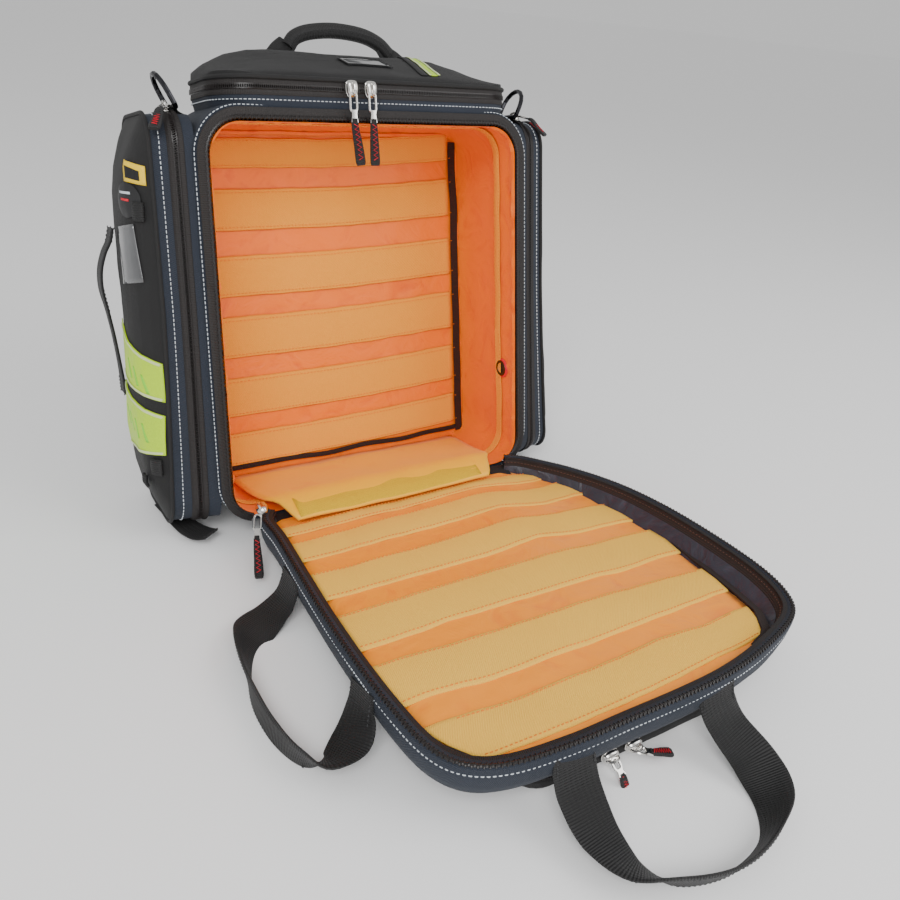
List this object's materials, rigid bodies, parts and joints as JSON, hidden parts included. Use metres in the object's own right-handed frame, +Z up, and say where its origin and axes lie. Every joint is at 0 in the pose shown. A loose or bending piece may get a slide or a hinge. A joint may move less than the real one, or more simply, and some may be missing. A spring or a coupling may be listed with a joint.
{
  "type": "trauma backpack",
  "caption": "Medical backpack standing open, its zipped front lid laid forward; covers of its side, top and lid pockets swing open, with webbing handles, rings and zip sliders.",
  "frame": {"origin": "centre of the whole open bag's footprint, on the ground", "axes": "+X to the bag's right as seen from in front, +Y from the lid's free end towards the wearer's back, +Z up"},
  "size_m": [0.5069, 0.7387, 0.4696],
  "materials": {
    "navy_cordura": "matt navy coated cordura",
    "black_polyester": "matt black polyester and webbing",
    "zip_tape": "brown-black zip tape with nylon coil",
    "orange_lining": "satin orange nylon with loop tape",
    "hook_flap": "yellow-orange padded nylon",
    "nickel": "polished nickel plate",
    "black_plastic": "matt black moulded plastic",
    "stiffener": "grey polyethylene sheet"
  },
  "bodies": {
    "pack": {"main_shell": "navy_cordura", "frame_sheet": "stiffener", "back_pad": "black_polyester", "rear_lining": "orange_lining", "floor_pad": "hook_flap", "main_zip_body": "zip_tape", "grommet": "nickel", "left_pocket_base": "navy_cordura", "right_pocket_base": "navy_cordura", "left_zip_base": "zip_tape", "right_zip_base": "zip_tape", "top_pocket_base": "navy_cordura", "top_zip_base": "zip_tape", "left_ring_tab": "black_polyester", "right_ring_tab": "black_polyester", "left_shoulder_strap": "black_polyester", "right_shoulder_strap": "black_polyester", "left_ladder_lock": "black_plastic", "right_ladder_lock": "black_plastic", "left_lower_strap": "black_polyester", "right_lower_strap": "black_polyester", "left_strap_tail": "black_polyester"},
    "lid": {"lid_shell": "navy_cordura", "lid_lining": "orange_lining", "main_zip_lid": "zip_tape", "hinge_flap": "hook_flap", "lid_pocket_base": "navy_cordura", "lid_pocket_zip_base": "zip_tape"},
    "lid_pocket": {"lid_pocket_cover": "black_polyester", "lid_pocket_zip_cover": "zip_tape"},
    "left_pocket": {"left_pocket_cover": "black_polyester", "left_zip_cover": "zip_tape"},
    "right_pocket": {"right_pocket_cover": "black_polyester", "right_zip_cover": "zip_tape"},
    "top_pocket": {"top_pocket_cover": "black_polyester", "top_zip_cover": "zip_tape"},
    "lid_side_handle": {"lid_side_handle": "black_polyester"},
    "lid_end_handle": {"lid_end_handle": "black_polyester"},
    "side_handle": {"side_handle": "black_polyester"},
    "top_handle": {"top_handle": "black_polyester"},
    "left_d_ring": {"left_d_ring": "nickel"},
    "right_d_ring": {"right_d_ring": "nickel"},
    "top_slider_left": {"top_slider_left": "nickel"},
    "top_slider_right": {"top_slider_right": "nickel"},
    "top_puller_left": {"top_puller_left": "nickel"},
    "top_puller_right": {"top_puller_right": "nickel"},
    "main_slider_left": {"main_slider_left": "nickel"},
    "main_slider_right": {"main_slider_right": "nickel"},
    "main_puller_left": {"main_puller_left": "nickel"},
    "main_puller_right": {"main_puller_right": "nickel"},
    "left_pocket_slider": {"left_pocket_slider": "nickel"},
    "right_pocket_slider": {"right_pocket_slider": "nickel"},
    "left_pocket_puller": {"left_pocket_puller": "nickel"},
    "right_pocket_puller": {"right_pocket_puller": "nickel"},
    "lid_pocket_slider_left": {"lid_pocket_slider_left": "nickel"},
    "lid_pocket_slider_right": {"lid_pocket_slider_right": "nickel"},
    "lid_pocket_puller_left": {"lid_pocket_puller_left": "nickel"},
    "lid_pocket_puller_right": {"lid_pocket_puller_right": "nickel"}
  },
  "joints": [
    {"name": "lid_hinge", "type": "hinge", "parent": "pack", "child": "lid", "pos_m": [0.01115, 0.12035, 0.03985], "axis": [-1, 0, 0], "range_deg": [0, 98]},
    {"name": "lid_pocket_hinge", "type": "hinge", "parent": "lid", "child": "lid_pocket", "pos_m": [0.01115, 0.05902, 0.00498], "axis": [1, 0, 0], "range_deg": [0, 50]},
    {"name": "lid_side_handle_hinge", "type": "hinge", "parent": "lid", "child": "lid_side_handle", "pos_m": [-0.14685, 0.11921, 0.02189], "axis": [0, 0.998, -0.0633], "range_deg": [0, 55]},
    {"name": "lid_end_handle_hinge", "type": "hinge", "parent": "lid", "child": "lid_end_handle", "pos_m": [0.01115, -0.26452, 0.04623], "axis": [-1, 0, 0], "range_deg": [0, 80]},
    {"name": "left_pocket_hinge", "type": "hinge", "parent": "pack", "child": "left_pocket", "pos_m": [-0.19349, 0.25842, 0.01126], "axis": [-0.0351, -0.2027, -0.9786], "range_deg": [0, 80]},
    {"name": "right_pocket_hinge", "type": "hinge", "parent": "pack", "child": "right_pocket", "pos_m": [0.21579, 0.25842, 0.01126], "axis": [-0.0351, 0.2027, 0.9786], "range_deg": [0, 80]},
    {"name": "side_handle_hinge", "type": "hinge", "parent": "left_pocket", "child": "side_handle", "pos_m": [-0.23871, 0.23002, 0.01714], "axis": [0.0428, 0.2026, 0.9783], "range_deg": [-16, 16]},
    {"name": "top_pocket_hinge", "type": "hinge", "parent": "pack", "child": "top_pocket", "pos_m": [0.01115, 0.32482, 0.39599], "axis": [-1, 0, 0], "range_deg": [0, 58]},
    {"name": "top_handle_hinge", "type": "hinge", "parent": "pack", "child": "top_handle", "pos_m": [0.01115, 0.34845, 0.3868], "axis": [-1, 0, 0], "range_deg": [0, 80]},
    {"name": "left_d_ring_hinge", "type": "hinge", "parent": "pack", "child": "left_d_ring", "pos_m": [-0.16761, 0.24122, 0.39665], "axis": [0, 0.9792, -0.2028], "range_deg": [-36, 38]},
    {"name": "right_d_ring_hinge", "type": "hinge", "parent": "pack", "child": "right_d_ring", "pos_m": [0.18991, 0.24122, 0.39665], "axis": [0, -0.9792, 0.2028], "range_deg": [-36, 38]},
    {"name": "top_slider_left_slide", "type": "slide", "parent": "pack", "child": "top_slider_left", "axis": [-1, 0, 0], "range_m": [0, 0.094]},
    {"name": "top_slider_right_slide", "type": "slide", "parent": "pack", "child": "top_slider_right", "axis": [1, 0, 0], "range_m": [0, 0.124]},
    {"name": "top_puller_left_hinge", "type": "hinge", "parent": "top_slider_left", "child": "top_puller_left", "pos_m": [-0.01489, 0.19979, 0.41606], "axis": [-1, 0, 0], "range_deg": [0, 90]},
    {"name": "top_puller_right_hinge", "type": "hinge", "parent": "top_slider_right", "child": "top_puller_right", "pos_m": [0.0044, 0.19979, 0.41606], "axis": [-1, 0, 0], "range_deg": [0, 90]},
    {"name": "main_slider_left_slide", "type": "slide", "parent": "lid", "child": "main_slider_left", "axis": [0, -0.998, 0.0633], "range_m": [0, 0.285]},
    {"name": "main_puller_left_hinge", "type": "hinge", "parent": "main_slider_left", "child": "main_puller_left", "pos_m": [-0.14315, 0.06946, 0.02735], "axis": [0, 0.998, -0.0633], "range_deg": [0, 90]},
    {"name": "left_pocket_slider_slide", "type": "slide", "parent": "pack", "child": "left_pocket_slider", "axis": [0, 0.9792, -0.2028], "range_m": [0, 0.082]},
    {"name": "left_pocket_puller_hinge", "type": "hinge", "parent": "left_pocket_slider", "child": "left_pocket_puller", "pos_m": [-0.18043, 0.23133, 0.39676], "axis": [-1, 0, 0], "range_deg": [0, 60]},
    {"name": "main_slider_right_slide", "type": "slide", "parent": "lid", "child": "main_slider_right", "axis": [0, -0.998, 0.0633], "range_m": [0, 0.285]},
    {"name": "main_puller_right_hinge", "type": "hinge", "parent": "main_slider_right", "child": "main_puller_right", "pos_m": [0.22545, 0.06946, 0.02735], "axis": [0, -0.998, 0.0633], "range_deg": [0, 90]},
    {"name": "right_pocket_slider_slide", "type": "slide", "parent": "pack", "child": "right_pocket_slider", "axis": [0, 0.9792, -0.2028], "range_m": [0, 0.082]},
    {"name": "right_pocket_puller_hinge", "type": "hinge", "parent": "right_pocket_slider", "child": "right_pocket_puller", "pos_m": [0.20273, 0.23133, 0.39676], "axis": [-1, 0, 0], "range_deg": [0, 60]},
    {"name": "lid_pocket_slider_left_slide", "type": "slide", "parent": "lid", "child": "lid_pocket_slider_left", "axis": [-1, 0, 0], "range_m": [0, 0.045]},
    {"name": "lid_pocket_puller_left_hinge", "type": "hinge", "parent": "lid_pocket_slider_left", "child": "lid_pocket_puller_left", "pos_m": [0.01315, -0.26281, 0.01628], "axis": [-1, 0, 0], "range_deg": [0, 60]},
    {"name": "lid_pocket_slider_right_slide", "type": "slide", "parent": "lid", "child": "lid_pocket_slider_right", "axis": [1, 0, 0], "range_m": [0, 0.065]},
    {"name": "lid_pocket_puller_right_hinge", "type": "hinge", "parent": "lid_pocket_slider_right", "child": "lid_pocket_puller_right", "pos_m": [0.03915, -0.26281, 0.01628], "axis": [-1, 0, 0], "range_deg": [0, 60]}
  ]
}
